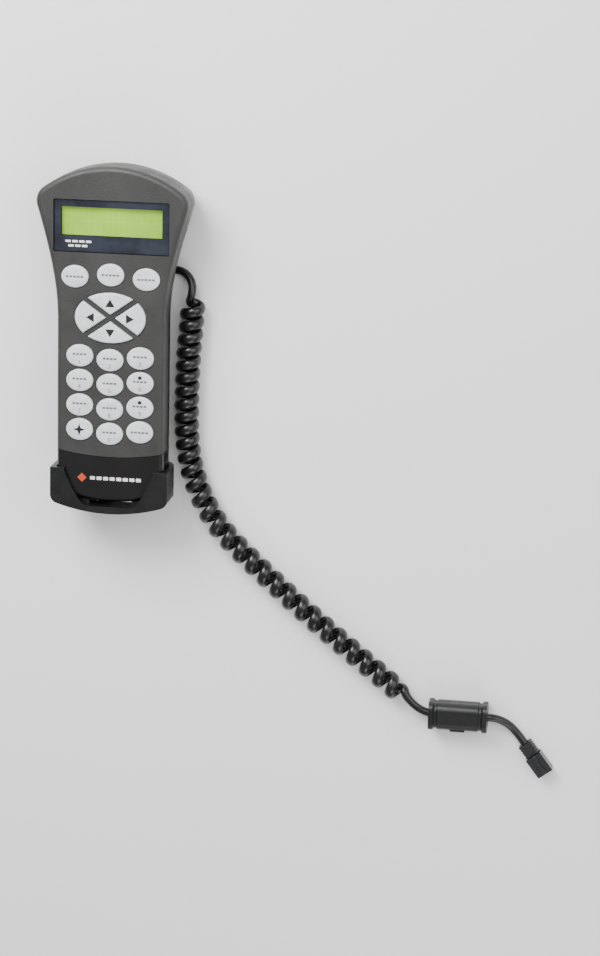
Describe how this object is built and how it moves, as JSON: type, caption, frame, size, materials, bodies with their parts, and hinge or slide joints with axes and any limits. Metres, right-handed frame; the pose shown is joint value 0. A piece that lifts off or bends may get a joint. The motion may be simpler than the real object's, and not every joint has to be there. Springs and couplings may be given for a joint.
{
  "type": "hand controller",
  "caption": "Handheld keypad controller with backlit display and direction pad, in a cup holder, with a curly cord, ferrite choke and modular plug.",
  "frame": {"origin": "on the surface that the controller and holder rest on, under the middle of their box", "axes": "+Y from the cord end to the display end, +Z out of the key face, +X to the right seen from the front"},
  "size_m": [0.2922, 0.3401, 0.0389],
  "materials": {
    "grey_plastic": "fine grained dark grey moulded plastic",
    "black_plastic": "black moulded plastic, satin",
    "chin_plastic": "black gloss plastic",
    "window": "dark glossy window",
    "display_glass": "yellow-green display",
    "light_guide": "pale light guide",
    "frame_metal": "dark pressed frame",
    "circuit_board": "green board",
    "key_plastic": "near-white key, satin",
    "mat_rubber": "grey rubber sheet",
    "steel": "plated screw",
    "cord_rubber": "glossy black cord sheath",
    "ferrite": "sintered ferrite",
    "plug_plastic": "smoked plug body"
  },
  "bodies": {
    "holder_body": {"holder": "black_plastic", "holder_screw_1": "steel", "holder_screw_2": "steel", "cord_lead": "cord_rubber", "cord_curl": "cord_rubber", "cord_tail": "cord_rubber", "choke_case_lower": "black_plastic", "choke_case_upper": "black_plastic", "choke_core": "ferrite", "plug_body": "plug_plastic", "plug_latch": "plug_plastic", "plug_boot": "cord_rubber"},
    "controller": {"front_cover": "grey_plastic", "rear_cover": "black_plastic", "display_header": "black_plastic", "processor": "black_plastic", "serial_socket": "black_plastic", "end_cover": "chin_plastic", "window_lens": "window", "lcd_glass": "display_glass", "lcd_backlight": "light_guide", "lcd_frame": "frame_metal", "lcd_board": "circuit_board", "main_board": "circuit_board", "keypad_mat": "mat_rubber", "housing_screw_1": "steel", "housing_screw_2": "steel", "housing_screw_3": "steel", "housing_screw_4": "steel", "board_screw_1": "steel", "board_screw_2": "steel", "board_screw_3": "steel", "strain_relief": "cord_rubber"},
    "key_align_body": {"key_align": "key_plastic"},
    "key_enter_body": {"key_enter": "key_plastic"},
    "key_undo_body": {"key_undo": "key_plastic"},
    "key_1_body": {"key_1": "key_plastic"},
    "key_2_body": {"key_2": "key_plastic"},
    "key_3_body": {"key_3": "key_plastic"},
    "key_4_body": {"key_4": "key_plastic"},
    "key_5_body": {"key_5": "key_plastic"},
    "key_6_body": {"key_6": "key_plastic"},
    "key_7_body": {"key_7": "key_plastic"},
    "key_8_body": {"key_8": "key_plastic"},
    "key_9_body": {"key_9": "key_plastic"},
    "key_star_body": {"key_star": "key_plastic"},
    "key_0_body": {"key_0": "key_plastic"},
    "key_help_body": {"key_help": "key_plastic"},
    "key_up_body": {"key_up": "key_plastic"},
    "key_down_body": {"key_down": "key_plastic"},
    "key_left_body": {"key_left": "key_plastic"},
    "key_right_body": {"key_right": "key_plastic"}
  },
  "joints": [
    {"name": "controller_slide", "type": "slide", "parent": "holder_body", "child": "controller", "axis": [0, 1, 0], "range_m": [0, 0.032]},
    {"name": "key_align_press", "type": "slide", "parent": "controller", "child": "key_align_body", "axis": [0, 0, -1], "range_m": [0, 0.0012], "stiffness_N_per_m": 600},
    {"name": "key_enter_press", "type": "slide", "parent": "controller", "child": "key_enter_body", "axis": [0, 0, -1], "range_m": [0, 0.0012], "stiffness_N_per_m": 600},
    {"name": "key_undo_press", "type": "slide", "parent": "controller", "child": "key_undo_body", "axis": [0, 0, -1], "range_m": [0, 0.0012], "stiffness_N_per_m": 600},
    {"name": "key_1_press", "type": "slide", "parent": "controller", "child": "key_1_body", "axis": [0, 0, -1], "range_m": [0, 0.0012], "stiffness_N_per_m": 600},
    {"name": "key_2_press", "type": "slide", "parent": "controller", "child": "key_2_body", "axis": [0, 0, -1], "range_m": [0, 0.0012], "stiffness_N_per_m": 600},
    {"name": "key_3_press", "type": "slide", "parent": "controller", "child": "key_3_body", "axis": [0, 0, -1], "range_m": [0, 0.0012], "stiffness_N_per_m": 600},
    {"name": "key_4_press", "type": "slide", "parent": "controller", "child": "key_4_body", "axis": [0, 0, -1], "range_m": [0, 0.0012], "stiffness_N_per_m": 600},
    {"name": "key_5_press", "type": "slide", "parent": "controller", "child": "key_5_body", "axis": [0, 0, -1], "range_m": [0, 0.0012], "stiffness_N_per_m": 600},
    {"name": "key_6_press", "type": "slide", "parent": "controller", "child": "key_6_body", "axis": [0, 0, -1], "range_m": [0, 0.0012], "stiffness_N_per_m": 600},
    {"name": "key_7_press", "type": "slide", "parent": "controller", "child": "key_7_body", "axis": [0, 0, -1], "range_m": [0, 0.0012], "stiffness_N_per_m": 600},
    {"name": "key_8_press", "type": "slide", "parent": "controller", "child": "key_8_body", "axis": [0, 0, -1], "range_m": [0, 0.0012], "stiffness_N_per_m": 600},
    {"name": "key_9_press", "type": "slide", "parent": "controller", "child": "key_9_body", "axis": [0, 0, -1], "range_m": [0, 0.0012], "stiffness_N_per_m": 600},
    {"name": "key_star_press", "type": "slide", "parent": "controller", "child": "key_star_body", "axis": [0, 0, -1], "range_m": [0, 0.0012], "stiffness_N_per_m": 600},
    {"name": "key_0_press", "type": "slide", "parent": "controller", "child": "key_0_body", "axis": [0, 0, -1], "range_m": [0, 0.0012], "stiffness_N_per_m": 600},
    {"name": "key_help_press", "type": "slide", "parent": "controller", "child": "key_help_body", "axis": [0, 0, -1], "range_m": [0, 0.0012], "stiffness_N_per_m": 600},
    {"name": "key_up_press", "type": "slide", "parent": "controller", "child": "key_up_body", "axis": [0, 0, -1], "range_m": [0, 0.0012], "stiffness_N_per_m": 600},
    {"name": "key_down_press", "type": "slide", "parent": "controller", "child": "key_down_body", "axis": [0, 0, -1], "range_m": [0, 0.0012], "stiffness_N_per_m": 600},
    {"name": "key_left_press", "type": "slide", "parent": "controller", "child": "key_left_body", "axis": [0, 0, -1], "range_m": [0, 0.0012], "stiffness_N_per_m": 600},
    {"name": "key_right_press", "type": "slide", "parent": "controller", "child": "key_right_body", "axis": [0, 0, -1], "range_m": [0, 0.0012], "stiffness_N_per_m": 600}
  ]
}
